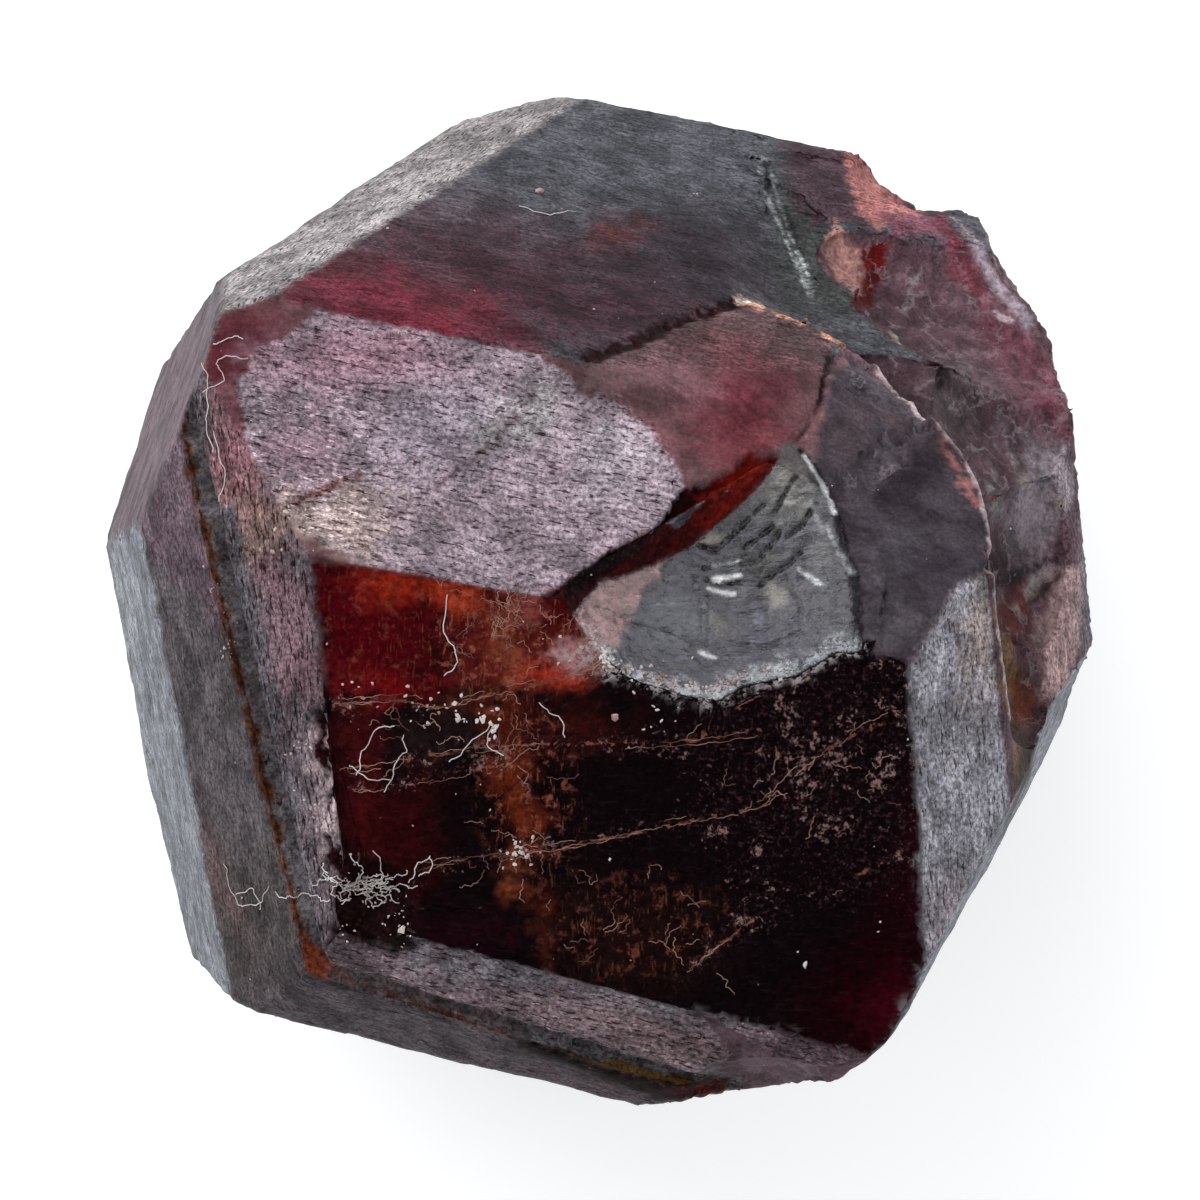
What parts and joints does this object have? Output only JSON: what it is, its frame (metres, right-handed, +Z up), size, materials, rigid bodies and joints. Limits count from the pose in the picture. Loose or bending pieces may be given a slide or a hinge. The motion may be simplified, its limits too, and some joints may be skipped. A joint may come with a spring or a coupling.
{
  "type": "garnet crystal",
  "caption": "Loose dark red garnet crystal of rhomb and bevel faces, with one broken corner, lying on a flat rhomb face.",
  "frame": {"origin": "on the flat rhomb face that the crystal rests on, straight below the crystal's centre", "axes": "+Z up, out of the dark window face on top; +Y towards the slate face, +X towards the broken corner's side"},
  "size_m": [0.0272, 0.0279, 0.0235],
  "materials": {
    "garnet": "Dark red almost black glassy crystal, with grey etched skin, rust stains and rough broken places"
  },
  "bodies": {
    "root": {"garnet_crystal": "garnet"}
  },
  "joints": []
}
